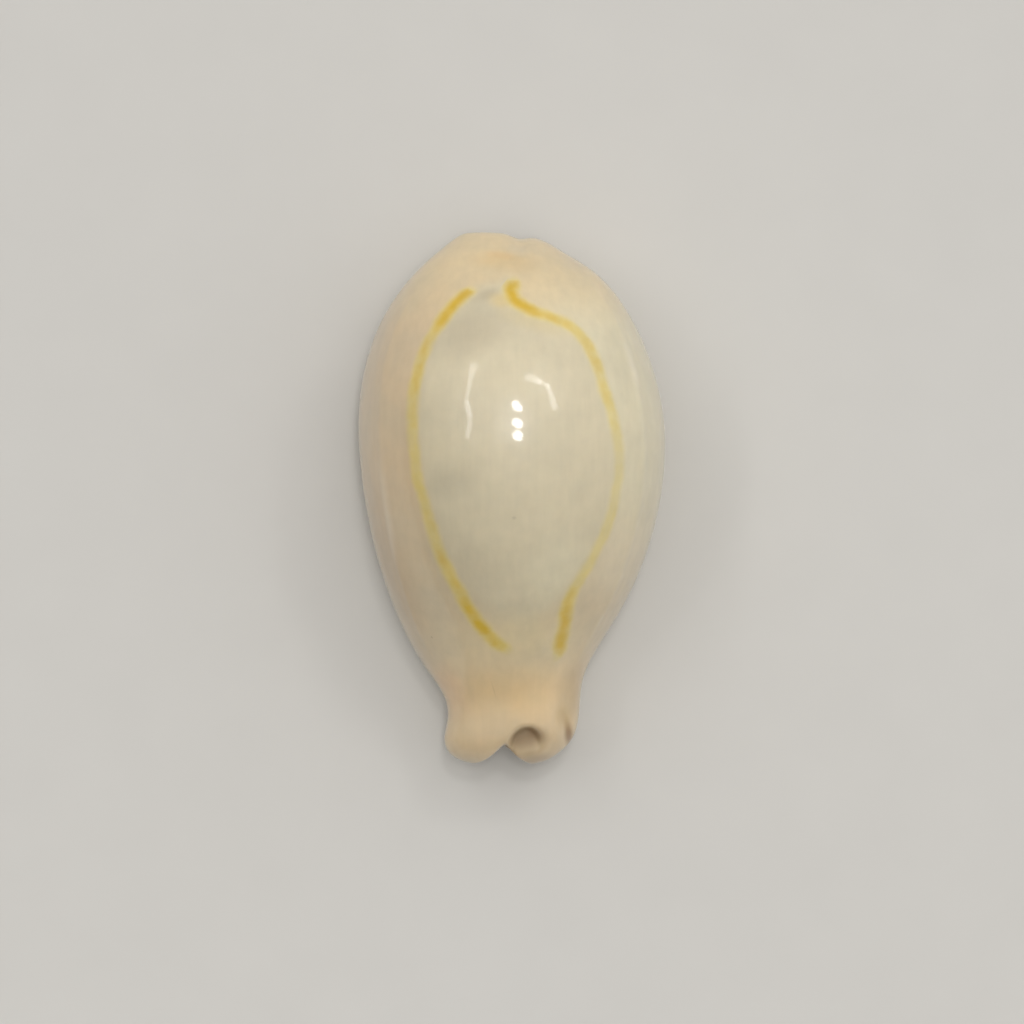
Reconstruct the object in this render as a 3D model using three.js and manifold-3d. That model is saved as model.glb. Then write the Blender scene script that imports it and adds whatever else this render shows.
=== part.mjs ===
// A ring cowrie: one egg-shaped sea shell with a domed back, thick rounded margins and a toothed
// slit along its underside. It lies on that underside, on two small flats beside the slit.
// Millimetres, +Z up. The blunt spire end points to +Y, the lobed canal end to -Y, and the outer
// lip is on the -X side. The origin is under the middle of the shell, on the surface it lies on.
import * as THREE from "three";
import { LoftGeometry } from "three/addons/geometries/LoftGeometry.js";
import { mergeVertices } from "three/addons/utils/BufferGeometryUtils.js";
import Module from "manifold-3d";

// Driving dimensions
const LENGTH = 26;
const WIDTH = 15;
const HEIGHT = 12;

// The outline from above and the profile from the side, at about real size; the finished shell is
// fitted to the driving dimensions. Each row is one place along the shell: how far towards the spire
// end it is, where its left and right edges are, and how high its back and its underside are. The
// first and last rows are the tips.
const ROWS = [
  { y: 13.0, left: -1.5, right: -1.5, top: 3.3, base: 3.3 },
  { y: 12.65, left: -2.85, right: 1.4, top: 4.7, base: 1.8 },
  { y: 12.1, left: -3.55, right: 2.4, top: 5.75, base: 1.25 },
  { y: 11.2, left: -4.55, right: 3.85, top: 7.15, base: 0.7 },
  { y: 9.5, left: -5.9, right: 5.42, top: 9.1, base: 0.15 },
  { y: 7.1, left: -7.0, right: 6.65, top: 11.0, base: -0.15 },
  { y: 4.0, left: -7.5, right: 7.42, top: 11.98, base: -0.25 },
  { y: 1.0, left: -7.33, right: 7.42, top: 11.75, base: -0.27 },
  { y: -2.0, left: -6.8, right: 6.8, top: 10.75, base: -0.25 },
  { y: -5.0, left: -5.88, right: 5.57, top: 8.95, base: -0.18 },
  { y: -7.2, left: -4.87, right: 4.25, top: 7.15, base: 0.0 },
  { y: -8.7, left: -3.9, right: 3.52, top: 6.0, base: 0.25 },
  { y: -9.8, left: -3.25, right: 3.35, top: 5.45, base: 0.5 },
  { y: -10.8, left: -3.15, right: 3.25, top: 5.2, base: 0.7 },
  { y: -11.7, left: -3.3, right: 2.95, top: 4.85, base: 0.95 },
  { y: -12.4, left: -3.05, right: 2.3, top: 4.3, base: 1.35 },
  { y: -12.8, left: -2.2, right: 1.6, top: 3.65, base: 1.9 },
  { y: -13.0, left: -0.3, right: -0.3, top: 2.7, base: 2.7 },
];

// Cross-section: how far the back's shoulders bulge past an ellipse, how squarely the underside turns
// up into the margins (2 is an ellipse), and how far up the widest part of the shell lies, as a share
// of the height, in the middle and towards the tips
const BACK_FULLNESS = 0.025;
const BASE_FULLNESS = 2.6;
const MARGIN_RISE_MIDDLE = 0.3;
const MARGIN_RISE_TIPS = 0.46;
const TIPS_START = 7;
const TIPS_FULL = 11.5;

// The thickened margins end on the back in a low rounded ridge: where it lies on the section, measured
// round from the widest part in radians, how high and broad it is, and where it fades towards the tips
const RIDGE = { turn: 0.6, rise: 0.1, halfTurn: 0.17, spireY: 11, canalY: -8.5, fade: 3 };

// The slit: where it runs at the spire tip, middle and canal tip, its half-widths there, its depth
const SLIT_X = { spire: 0.25, middle: -0.6, canal: -0.35 };
const SLIT_HALF_WIDTH = { spire: 0.5, middle: 0.65, canal: 0.85 };
const SLIT_DEPTH = 4.4;
const SLIT_DEPTH_SHARE = 0.58;
const SLIT_ROOF_NARROWING = 0.55;
const LIP_RADIUS = 0.75;
const SLIT_FULL_AT_WIDTH = 6;

// Teeth: ridges across both lips, parted by grooves that fade out within half a tooth of each end of
// the row; the right-hand row sits half a tooth further on
const TEETH = 12;
const TOOTH_PITCH = 1.6;
const HALF_TOOTH = 0.5;
const TEETH_END_Y = 10;
const TOOTH_GROOVE_DEPTH = 0.55;
const TOOTH_REACH = { left: 2.1, right: 1.5 };
const TOOTH_WALL_REACH = 1.6;

// Canal end: the notch between the two lobes, the arched mouth of the canal on the right lobe, which is
// scooped out by an egg-shaped hollow, and the fold that parts the right lobe from the margin beside it
const NOTCH = { x: -0.33, depth: 0.95, halfWidth: 0.62, sharpness: 1.4, startY: -11.2, fullY: -13 };
const MOUTH = { x: 0.67, y: -12.42, z: 4.5, radiusX: 1.05, radiusY: 1.4, radiusZ: 1.25, dip: 0.45 };
const MOUTH_FACETS = { around: 28, along: 16 };
const FOLD = { startX: 2.4, endX: 2.75, startY: -10.1, endY: -11.9, halfWidth: 0.25, depth: 0.25 };
const FOLD_FADE = { full: 0.5, falling: 0.9, gone: 1.3, lowZ: 2.2, highZ: 3.4 };

// Spire end: the shallow notch of the rear canal, between two low bumps
const REAR_NOTCH = { x: 0.2, depth: 0.2, halfWidth: 0.6, startY: 11.6, fullY: 12.6 };

// Facets: steps along each stretch of half a section, and sections along the shell, which crowd
// together towards the tips
const WALL_STEPS = 3;
const LIP_STEPS = 3;
const BASE_STEPS = 8;
const BACK_STEPS = 14;
const SECTIONS_PER_TOOTH = 4;
const SPIRE_TIP_SECTIONS = 10;
const CANAL_TIP_SECTIONS = 17;
const TIP_CROWDING = 1.35;
const TIP_CAP_SHARE = 0.008;
const SHARE_ACCURACY = 1e-6;

// Look of the shell in plain view
const SHELL_COLOUR = 0xd3c7a8;
const SHELL_ROUGHNESS = 0.15;

// Closed curves through the rows: out along one edge and back along the other
function closedThrough(out, back) {
  const there = ROWS.map((row) => new THREE.Vector3(row[out], row.y, 0));
  const home = ROWS.slice(1, -1).reverse().map((row) => new THREE.Vector3(row[back], row.y, 0));
  return new THREE.CatmullRomCurve3([...there, ...home], true, "catmullrom", 0.5);
}

const plan = closedThrough("right", "left");
const profile = closedThrough("top", "base");

// Runs smoothly from 0 at one value to 1 at another, which may be the lower of the two
function ease(from, to, value) {
  return THREE.MathUtils.smoothstep((value - from) / (to - from), 0, 1);
}

// A value that takes three given amounts at the spire tip, the middle and the canal tip
function alongShell({ spire, middle, canal }, y) {
  const share = y / ROWS[0].y;
  const tilt = (spire - canal) / 2;
  const bow = (spire + canal) / 2 - middle;
  return middle + tilt * share + bow * share * share;
}

// Everything that sets one cross-section; share runs from 0 at the spire tip to 1 at the canal tip
function sectionAt(share) {
  const right = plan.getPoint(share / 2);
  const left = plan.getPoint(1 - share / 2).x;
  const top = profile.getPoint(share / 2).x;
  const base = profile.getPoint(1 - share / 2).x;
  const y = right.y;
  const towardsTip = ease(TIPS_START, TIPS_FULL, Math.abs(y));
  const rise = THREE.MathUtils.lerp(MARGIN_RISE_MIDDLE, MARGIN_RISE_TIPS, towardsTip);
  const room = Math.min(1, (right.x - left) / SLIT_FULL_AT_WIDTH);
  const middle = (left + right.x) / 2;
  return {
    y,
    left,
    right: right.x,
    middle,
    top,
    base,
    margin: base + rise * (top - base),
    slit: THREE.MathUtils.lerp(middle, alongShell(SLIT_X, y), room),
    halfSlit: alongShell(SLIT_HALF_WIDTH, y) * room,
    lip: LIP_RADIUS * room,
    roof: base + Math.min(SLIT_DEPTH, SLIT_DEPTH_SHARE * (top - base)),
  };
}

// The share along the shell at which a section has the given y, found by halving
function shareAtY(y) {
  let low = 0;
  let high = 1;
  while (high - low > SHARE_ACCURACY) {
    const half = (low + high) / 2;
    if (plan.getPoint(half / 2).y > y) low = half;
    else high = half;
  }
  return low;
}

// How deep the groove between two teeth is cut at y: nothing on a tooth, full midway between two
function toothGroove(y, side) {
  const place = (TEETH_END_Y - y) / TOOTH_PITCH + (side > 0 ? HALF_TOOTH : 0);
  const fade = ease(0, HALF_TOOTH, place) * ease(TEETH + HALF_TOOTH, TEETH, place);
  return TOOTH_GROOVE_DEPTH * fade * Math.sin(Math.PI * place) ** 2;
}

// How high the ridge along the margins stands at one place on the back
function marginRidge(y, turn) {
  const fromSpire = ease(RIDGE.spireY, RIDGE.spireY - RIDGE.fade, y);
  const fromCanal = ease(RIDGE.canalY, RIDGE.canalY + RIDGE.fade, y);
  return RIDGE.rise * fromSpire * fromCanal * Math.exp(-(((turn - RIDGE.turn) / RIDGE.halfTurn) ** 2));
}

// Half of a section, from the roof of the slit round to the crest of the back
function halfSection(section, side) {
  const { slit, halfSlit, lip, base, roof, margin, top, middle } = section;
  const edge = side > 0 ? section.right : section.left;
  const lipX = slit + side * halfSlit;
  const groove = toothGroove(section.y, side);
  const reach = side > 0 ? TOOTH_REACH.right : TOOTH_REACH.left;
  const points = [];
  for (let i = 1; i <= WALL_STEPS; i++) {
    const down = i / (WALL_STEPS + 1);
    const z = THREE.MathUtils.lerp(roof, base + lip, down);
    const narrowing = 1 - SLIT_ROOF_NARROWING * (1 - down) ** 2;
    const cut = groove * ease(TOOTH_WALL_REACH, 0, z - base - lip);
    points.push([slit + side * (halfSlit * narrowing + cut), z]);
  }
  for (let i = 0; i <= LIP_STEPS; i++) {
    const turn = ((i / LIP_STEPS) * Math.PI) / 2;
    const radius = lip - groove;
    points.push([lipX + side * (lip - radius * Math.cos(turn)), base + lip - radius * Math.sin(turn)]);
  }
  const flatX = lipX + side * lip;
  for (let i = 1; i <= BASE_STEPS; i++) {
    const turn = ((i / BASE_STEPS) * Math.PI) / 2;
    const out = Math.sin(turn) ** (2 / BASE_FULLNESS);
    const rise = 1 - Math.cos(turn) ** (2 / BASE_FULLNESS);
    const x = THREE.MathUtils.lerp(flatX, edge, out);
    const cut = groove * ease(reach, 0, Math.abs(x - flatX));
    points.push([x, THREE.MathUtils.lerp(base, margin, rise) + cut]);
  }
  for (let i = 1; i < BACK_STEPS; i++) {
    const turn = ((i / BACK_STEPS) * Math.PI) / 2;
    const bulge = 1 + BACK_FULLNESS * Math.sin(2 * turn) ** 2;
    const ridge = marginRidge(section.y, turn);
    const x = THREE.MathUtils.lerp(middle, edge, bulge * Math.cos(turn)) + side * ridge * Math.cos(turn);
    const z = THREE.MathUtils.lerp(margin, top, bulge * Math.sin(turn)) + ridge * Math.sin(turn);
    points.push([x, z]);
  }
  return points;
}

// Gives a point of the plain shell the notches at the tips, the fold on the right lobe and the flats
function finish(point) {
  const { x, y, z } = point;
  const across = Math.abs(x - NOTCH.x) / NOTCH.halfWidth;
  const notch = NOTCH.depth * Math.exp(-(across ** NOTCH.sharpness)) * ease(NOTCH.startY, NOTCH.fullY, y);
  const rearAcross = (x - REAR_NOTCH.x) / REAR_NOTCH.halfWidth;
  const rearFade = ease(REAR_NOTCH.startY, REAR_NOTCH.fullY, y);
  const rear = REAR_NOTCH.depth * Math.exp(-(rearAcross ** 2)) * rearFade;
  const along = (y - FOLD.startY) / (FOLD.endY - FOLD.startY);
  const fromFold = (x - THREE.MathUtils.lerp(FOLD.startX, FOLD.endX, along)) / FOLD.halfWidth;
  const lengthwise = ease(0, FOLD_FADE.full, along) * ease(FOLD_FADE.gone, FOLD_FADE.falling, along);
  const onBack = ease(FOLD_FADE.lowZ, FOLD_FADE.highZ, z);
  const fold = FOLD.depth * Math.exp(-(fromFold ** 2)) * lengthwise * onBack;
  return point.set(x, y + notch - rear, Math.max(0, z - fold));
}

// One closed ring of points, anticlockwise as seen from the canal end
function ring(share) {
  const section = sectionAt(share);
  const outline = [
    [section.slit, section.roof],
    ...halfSection(section, 1),
    [section.middle, section.top],
    ...halfSection(section, -1).reverse(),
  ];
  return outline.map(([x, z]) => new THREE.Vector3(x, section.y, z));
}

// Sections crowd towards the tips and keep step with the teeth in between
function sectionShares() {
  const teethStart = shareAtY(TEETH_END_Y);
  const teethEnd = shareAtY(TEETH_END_Y - TEETH * TOOTH_PITCH);
  const shares = [];
  for (let i = 0; i < SPIRE_TIP_SECTIONS; i++) {
    const towardsTeeth = (i / SPIRE_TIP_SECTIONS) ** TIP_CROWDING;
    shares.push(THREE.MathUtils.lerp(TIP_CAP_SHARE, teethStart, towardsTeeth));
  }
  const steps = TEETH * SECTIONS_PER_TOOTH;
  for (let i = 0; i <= steps; i++) {
    shares.push(shareAtY(TEETH_END_Y - (i / SECTIONS_PER_TOOTH) * TOOTH_PITCH));
  }
  for (let i = CANAL_TIP_SECTIONS - 1; i >= 0; i--) {
    const towardsTeeth = (i / CANAL_TIP_SECTIONS) ** TIP_CROWDING;
    shares.push(THREE.MathUtils.lerp(1 - TIP_CAP_SHARE, teethEnd, towardsTeeth));
  }
  return shares;
}

// A geometry with nothing but its merged points and its faces
function bare(geometry) {
  const plain = new THREE.BufferGeometry();
  plain.setAttribute("position", geometry.getAttribute("position"));
  plain.setIndex(geometry.getIndex());
  return mergeVertices(plain);
}

// A closed geometry as a solid that can be cut
function solid(geometry) {
  const { attributes, index } = bare(geometry);
  const vertProperties = attributes.position.array;
  const triVerts = new Uint32Array(index.array);
  return new wasm.Manifold(new wasm.Mesh({ numProp: 3, vertProperties, triVerts }));
}

// The rings skinned and capped, and finished point by point
function plainShell() {
  const loft = bare(new LoftGeometry(sectionShares().map(ring), { capStart: true, capEnd: true }));
  const positions = loft.getAttribute("position");
  const point = new THREE.Vector3();
  for (let i = 0; i < positions.count; i++) {
    finish(point.fromBufferAttribute(positions, i));
    positions.setXYZ(i, point.x, point.y, point.z);
  }
  return loft;
}

// The hollow of the canal's mouth
function mouthHollow() {
  const hollow = new THREE.SphereGeometry(1, MOUTH_FACETS.around, MOUTH_FACETS.along);
  hollow.scale(MOUTH.radiusX, MOUTH.radiusY, MOUTH.radiusZ);
  hollow.rotateX(MOUTH.dip);
  hollow.translate(MOUTH.x, MOUTH.y, MOUTH.z);
  return hollow;
}

// The shell with its mouth scooped out, fitted to the driving dimensions
function shellGeometry() {
  const cut = solid(plainShell()).subtract(solid(mouthHollow())).getMesh();
  const shell = new THREE.BufferGeometry();
  shell.setAttribute("position", new THREE.BufferAttribute(cut.vertProperties, 3));
  shell.setIndex(new THREE.BufferAttribute(cut.triVerts, 1));
  shell.center();
  const size = shell.boundingBox.getSize(new THREE.Vector3());
  shell.scale(WIDTH / size.x, LENGTH / size.y, HEIGHT / size.z);
  shell.translate(0, 0, HEIGHT / 2);
  shell.computeVertexNormals();
  return shell;
}

const wasm = await Module();
wasm.setup();

const shell = new THREE.Mesh(
  shellGeometry(),
  new THREE.MeshStandardMaterial({ color: SHELL_COLOUR, roughness: SHELL_ROUGHNESS, metalness: 0 }),
);
shell.name = "shell";

const cowrie = new THREE.Group();
cowrie.add(shell);

export default cowrie;
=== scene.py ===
"""A ring cowrie, dressed: the shell's smooth surface, the teeth along its slit, its golden ring and its
glaze, on a plain studio stage. Metres, +Z up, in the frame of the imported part: the spire end points to
+Y, the lobed canal end to -Y, and the outer lip is on the -X side."""

import math

import bpy
import numpy as np
from bpy.props import FloatProperty, FloatVectorProperty, IntProperty, PointerProperty
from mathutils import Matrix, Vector
from mathutils.bvhtree import BVHTree


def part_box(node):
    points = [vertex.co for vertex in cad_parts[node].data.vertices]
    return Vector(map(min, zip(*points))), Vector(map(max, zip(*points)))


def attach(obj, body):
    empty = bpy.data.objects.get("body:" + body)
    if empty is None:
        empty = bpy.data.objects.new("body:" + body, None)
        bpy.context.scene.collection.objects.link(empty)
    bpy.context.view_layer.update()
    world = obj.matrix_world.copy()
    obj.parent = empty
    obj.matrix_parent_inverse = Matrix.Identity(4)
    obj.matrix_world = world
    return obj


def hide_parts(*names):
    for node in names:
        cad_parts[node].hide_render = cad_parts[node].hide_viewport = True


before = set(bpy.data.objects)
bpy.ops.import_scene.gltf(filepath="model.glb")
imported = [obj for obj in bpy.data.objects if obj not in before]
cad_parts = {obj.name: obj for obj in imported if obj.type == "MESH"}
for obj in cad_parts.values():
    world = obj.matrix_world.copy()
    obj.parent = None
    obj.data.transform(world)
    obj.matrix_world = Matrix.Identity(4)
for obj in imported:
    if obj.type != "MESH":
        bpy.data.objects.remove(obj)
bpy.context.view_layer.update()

bl_info = {
    "name": "Ring cowrie",
    "version": (1, 0, 0),
    "blender": (4, 5, 0),
    "location": "View3D > Sidebar > Cowrie",
    "description": "Grows a glossy ring cowrie and sets it on a plain studio stage",
    "category": "Add Mesh",
}

MM = 0.001
NODE = "shell"
BODY = "root"
low_corner, high_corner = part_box(NODE)

# The outline from above and the profile from the side, in millimetres: how far towards the spire end,
# the left and right edges, and the height of the back and of the underside
ROWS = np.array([
    (13.0, -1.5, -1.5, 3.3, 3.3),
    (12.65, -2.85, 1.4, 4.7, 1.8),
    (12.1, -3.55, 2.4, 5.75, 1.25),
    (11.2, -4.55, 3.85, 7.15, 0.7),
    (9.5, -5.9, 5.42, 9.1, 0.15),
    (7.1, -7.0, 6.65, 11.0, -0.15),
    (4.0, -7.5, 7.42, 11.98, -0.25),
    (1.0, -7.33, 7.42, 11.75, -0.27),
    (-2.0, -6.8, 6.8, 10.75, -0.25),
    (-5.0, -5.88, 5.57, 8.95, -0.18),
    (-7.2, -4.87, 4.25, 7.15, 0.0),
    (-8.7, -3.9, 3.52, 6.0, 0.25),
    (-9.8, -3.25, 3.35, 5.45, 0.5),
    (-10.8, -3.15, 3.25, 5.2, 0.7),
    (-11.7, -3.3, 2.95, 4.85, 0.95),
    (-12.4, -3.05, 2.3, 4.3, 1.35),
    (-12.8, -2.4, 1.6, 3.65, 1.9),
    (-13.0, -0.3, -0.3, 2.7, 2.7),
])

# Cross-section
BACK_FULLNESS = 0.025
BASE_FULLNESS = 2.6
MARGIN_RISE = {"middle": 0.3, "tips": 0.46, "start": 7.0, "full": 11.5}
RIDGE = {"turn": 0.6, "rise": 0.09, "half_turn": 0.17, "spire_y": 11.0, "canal_y": -8.5, "fade": 3.0}
RIDGE_CREST = {"rise": 0.035, "half_turn": 0.04}

# The slit along the underside, at the spire tip, the middle and the canal tip
SLIT_X = (0.25, -0.6, -0.35)
SLIT_HALF_WIDTH = (0.5, 0.65, 0.85)
SLIT_DEPTH = 4.4
SLIT_DEPTH_SHARE = 0.58
SLIT_ROOF_NARROWING = 0.55
SLIT_FULL_AT_WIDTH = 6.0
LIP_RADIUS = 0.75

# Teeth: where the rows start, and how far a groove runs out on the underside and up the slit's wall
TEETH_END_Y = 10.0
TOOTH_REACH = {"left": 2.1, "right": 1.5}
TOOTH_REACH_SPREAD = 0.22
TOOTH_WALL_REACH = 1.6
TOOTH_SEED = 4
TOOTH_KEYS_APART = 100.0
FAR_FROM_LIP = 99.0

# The tips: the notch between the two lobes, the arched mouth of the canal, the fold beside it and the
# shallow notch at the spire end
NOTCH = {"x": -0.33, "depth": 0.97, "left": 0.8, "right": 0.66, "sharpness": 1.45, "edge": 0.3}
MOUTH = {
    "middle": (0.75, -12.1), "half_width": 1.1, "reach": 1.1, "depth": 0.78, "lean": 0.3,
    "rim": 0.25, "left_rim": 0.5, "right_rim": 0.85,
    "out_y": -12.75, "deep_y": -11.25, "low_z": 2.2, "high_z": 3.2,
}
FOLD = {"start": (2.4, -10.1), "end": (2.75, -11.9), "half_width": 0.25, "depth": 0.25}
FOLD_FADE = {"full": 0.5, "falling": 0.9, "gone": 1.3, "low_z": 2.2, "high_z": 3.4}
REAR_NOTCH = {"x": 0.36, "depth": 0.2, "half_width": 0.5, "start_y": 11.6, "full_y": 12.6}

# Steps along each stretch of half a section, and sections along the shell
WALL_STEPS = 14
LIP_STEPS = 10
BASE_STEPS = 36
BACK_STEPS = 90
SECTIONS = 262
TIP_GAP = 0.0012
TIP_CROWDING = 0.55

# The golden ring on the back, once round: x and y in millimetres, and how strong the gold is there. It
# runs down the left side, skips the canal end, comes up the right side and skips the spire end.
RING = [
    (-2.07, 10.06, 0.85), (-2.38, 9.81, 1.15), (-2.84, 9.34, 1.2), (-3.54, 8.38, 0.92), (-4.11, 7.42, 0.73),
    (-4.45, 6.57, 0.77), (-4.72, 5.28, 0.67), (-4.8, 4.2, 0.67), (-4.76, 2.71, 0.54), (-4.54, 0.91, 0.59),
    (-4.13, -0.55, 0.61), (-3.56, -2.47, 0.71), (-2.84, -4.05, 0.71), (-2.13, -5.28, 0.84),
    (-1.45, -6.27, 0.92), (-0.75, -7.02, 0.86), (-0.35, -7.29, 0.6), (0.0, -7.58, 0.0), (1.0, -7.85, 0.0),
    (1.9, -7.85, 0.0), (2.27, -7.57, 0.74), (2.34, -7.25, 1.0), (2.51, -6.45, 0.95), (2.7, -5.25, 0.82),
    (3.26, -4.02, 0.54), (4.02, -2.76, 0.46), (4.75, -1.06, 0.54), (5.08, 0.39, 0.41), (5.22, 2.0, 0.38),
    (4.98, 3.58, 0.53), (4.49, 5.31, 0.59), (3.99, 6.8, 0.7), (3.46, 7.72, 0.72), (2.66, 8.44, 0.68),
    (1.66, 8.85, 0.67), (0.54, 9.3, 1.12), (0.0, 9.92, 1.2), (0.02, 10.49, 0.82), (-0.15, 10.75, 0.0),
    (-0.8, 10.6, 0.0), (-1.4, 10.5, 0.0), (-1.78, 10.28, 0.0),
]

# In millimetres: steps along the ring's line, the height under which nothing lies inside it, and the
# heights between which the back's ripples fade in
RING_STEP = 0.05
RING_LOW_Z = 4.0
RIPPLE_FADE_Z = (2.0, 5.0)

# Where looking straight down on the back starts, in metres
LOOK_FROM = 1.0

# Broad areas of the glaze: an axis, and where along it each one starts and is full, in millimetres
AREAS = {
    "right_margin": ("X", -3.5, 3.5),
    "spire_end": ("Y", 7.5, 11.5),
    # Painted shade, partly: the margins turn darker as well as warmer towards the canal end
    "warm_shaded_flanks": ("Y", 1.5, -5.5),
    "canal_end": ("Y", -6.8, -9.0),
    "underside": ("Z", 2.8, 0.9),
    # Where the painted highlight along the margins' ridge fades in towards the canal end
    "ridge": ("Y", -7.5, -4.5),
}

# Where the window starts and is full, in millimetres out from the ring; near the canal it fades in slowly
WINDOW = {"outer": 0.35, "inner": -0.75, "low_inner": -3.0, "from_y": -3.5, "to_y": -7.5}

# The painted highlight, a pale line along the crest of each margin's ridge: its half-width in radians round
# the back, how much of it shows, and how far up it reaches on the left and on the right
RIDGE_HIGHLIGHT = {"half_turn": 0.065, "amount": 0.48, "left_top": 3.5, "right_top": 11.0, "top_fade": 3.0}

# Irregular patterns: their size in millimetres, how much finer detail they have, how they run from end to
# end, the stretch of the noise that counts, and the values at its two ends
PATTERNS = {
    "ring_patches": (0.9, 2.0, "LINEAR", (0.25, 0.75), (0.75, 1.15)),
    "ring_wander": (0.8, 2.0, "LINEAR", (0.0, 1.0), (-0.11, 0.11)),
    "ridge_breaks": (5.0, 1.0, "SMOOTHSTEP", (0.35, 0.6), (0.0, 1.0)),
    "clouding": (2.5, 2.0, "SMOOTHSTEP", (0.35, 0.75), (0.0, 0.25)),
    "mottle": (0.7, 3.0, "LINEAR", (0.2, 0.8), (0.965, 1.035)),
    "streaks": (1.0, 2.0, "LINEAR", (0.25, 0.75), (0.975, 1.025)),
    "polish": (1.2, 2.0, "LINEAR", (0.0, 1.0), (0.3, 0.4)),
}
STREAK_SIZE = (0.32, 4.5, 0.6)

# The ring's bands: the colour, where it starts and is full in half-widths off the line, how it follows the
# strength of the gold, the strengths at which it starts and is full, and its largest amount
RING_BANDS = [
    ("ring_edge", 2.4, 0.5, "LINEAR", 0.0, 0.6, 0.8),
    ("ring", 1.75, 0.15, "SMOOTHSTEP", 0.45, 1.02, 0.97),
]
RING_WIDENING = 0.66

# Specks: how far apart their cells are in millimetres, their rim and middle as shares of that, how rare
# they are and how much of the brown shows
SPECKS = {"apart": 3.6, "rim": 0.034, "middle": 0.012, "rarity": 0.72, "amount": 0.45}

# What changes in the mouth of the canal and in the slit: the measure, in millimetres, between which two
# depths, and the values there
HOLLOWS = {
    # Painted shade, with some brown: darker the deeper the mouth of the canal is scooped
    "mouth_shade_and_brown": ("mouth_depth", (0.05, 0.7), (0.0, 0.35)),
    "brown_slit": ("from_lip", (-0.4, -2.4), (0.0, 0.75)),
    "dullness": ("mouth_depth", (0.0, 0.3), (0.0, 0.35)),
    "clear_skin": ("mouth_depth", (0.0, 0.3), (0.7, 0.0)),
}

# Soft stains, and some painted light and shade, in the glaze, each one full at a share of the way in to
# its middle: middle, radii and turn about the vertical, in millimetres and degrees, then a colour and how
# much of it shows at the middle
STAIN_FULL = 0.85
STAINS = [
    ("spire callus", (-0.2, 11.45, 6.3), (2.3, 0.9, 2.4), -6.0, "#e0bb7a", 0.46),
    ("spire blush", (-0.45, 11.8, 6.2), (1.2, 0.28, 2.0), -10.0, "#d79c48", 0.16),
    ("grey streak at the start of the ring", (-1.25, 9.85, 8.6), (1.05, 0.42, 1.5), 25.0, "#9f8c6e", 0.34),
    ("grey top of the window", (-1.9, 8.0, 9.8), (2.9, 2.2, 2.8), 25.0, "#ab9d82", 0.42),
    ("gold beside the hook of the ring", (-0.5, 9.6, 9.0), (0.9, 0.6, 1.6), 0.0, "#e3c064", 0.4),
    ("gold under the hook of the ring", (1.2, 8.6, 9.6), (2.6, 0.9, 2.0), -15.0, "#dcc27c", 0.32),
    ("grey left middle", (-2.9, 0.9, 10.5), (2.1, 1.5, 3.0), 0.0, "#a9a089", 0.24),
    ("grey lower left of the window", (-2.2, -3.2, 9.2), (2.2, 2.8, 3.4), 20.0, "#aa9d85", 0.25),
    # Painted light: the lower right of the window made paler where the back turns away from the light
    ("painted light on the lower right of the window", (2.2, -3.4, 9.4), (2.4, 2.8, 3.2), -20.0, "#e8dfbe", 0.4),
    ("warm lower end of the window", (0.6, -6.7, 7.6), (3.0, 1.8, 3.0), 0.0, "#e2cd9f", 0.5),
    # Painted shade, partly: the left flank is made darker and browner, as well as given its own warmer tone
    ("warm tone and painted shade on the left flank", (-5.8, -3.2, 5.6), (2.0, 6.5, 4.2), 17.0, "#ab8455", 0.34),
    ("pale right flank", (5.0, -3.0, 7.0), (1.8, 3.0, 3.5), -15.0, "#f0e2c4", 0.28),
    ("pale lower girdle", (0.0, -7.3, 6.3), (6.0, 2.9, 4.5), 0.0, "#f3dfb2", 0.36),
    ("neck blush", (0.1, -9.6, 5.6), (3.5, 2.1, 2.8), 0.0, "#deba7e", 0.48),
    # Painted light, with the neck's own orange tone: the left neck made paler where it faces away from the
    # light
    ("orange tone and painted light on the left neck", (-2.95, -9.4, 4.0), (1.1, 2.1, 2.8), 12.0, "#f0c08c", 0.4),
    ("right neck shade", (3.0, -9.4, 4.2), (1.1, 2.3, 2.6), -4.0, "#ae956c", 0.45),
    # Darker brown along the groove of the fold
    ("dark brown along the fold", (2.8, -11.65, 3.5), (0.34, 1.25, 1.8), 9.0, "#7d5122", 0.64),
    ("yellow top of the fold", (2.5, -10.7, 4.6), (0.6, 0.9, 1.5), 0.0, "#c9a564", 0.35),
    # Painted shade, with the mouth's brown: the floor of the canal's mouth darkened
    ("painted shade and brown on the floor of the mouth", (0.6, -11.75, 4.15), (1.4, 1.2, 0.9), 0.0, "#7a5f3f", 0.62),
    # Painted shadow, with brown: darkest just under the mouth's arched rim
    ("painted shadow and brown under the mouth's arch", (1.2, -11.3, 4.3), (1.0, 0.6, 0.9), -40.0, "#84561f", 0.6),
    ("knob of the right lobe", (1.0, -12.75, 3.2), (1.6, 0.7, 1.4), 0.0, "#93795c", 0.5),
    ("notch shade", (-0.33, -12.05, 3.3), (0.5, 0.5, 1.4), 0.0, "#9a7850", 0.5),
    ("hairline", (-0.88, -9.35, 5.6), (0.06, 0.6, 1.0), 16.0, "#8d7550", 0.14),
    ("speck on the back", (0.11, -0.98, 11.4), (0.2, 0.16, 0.4), 0.0, "#8d8269", 0.6),
    ("speck on the left margin", (-6.54, 3.76, 5.5), (0.15, 0.14, 3.0), 0.0, "#6f6046", 0.5),
]

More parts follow.
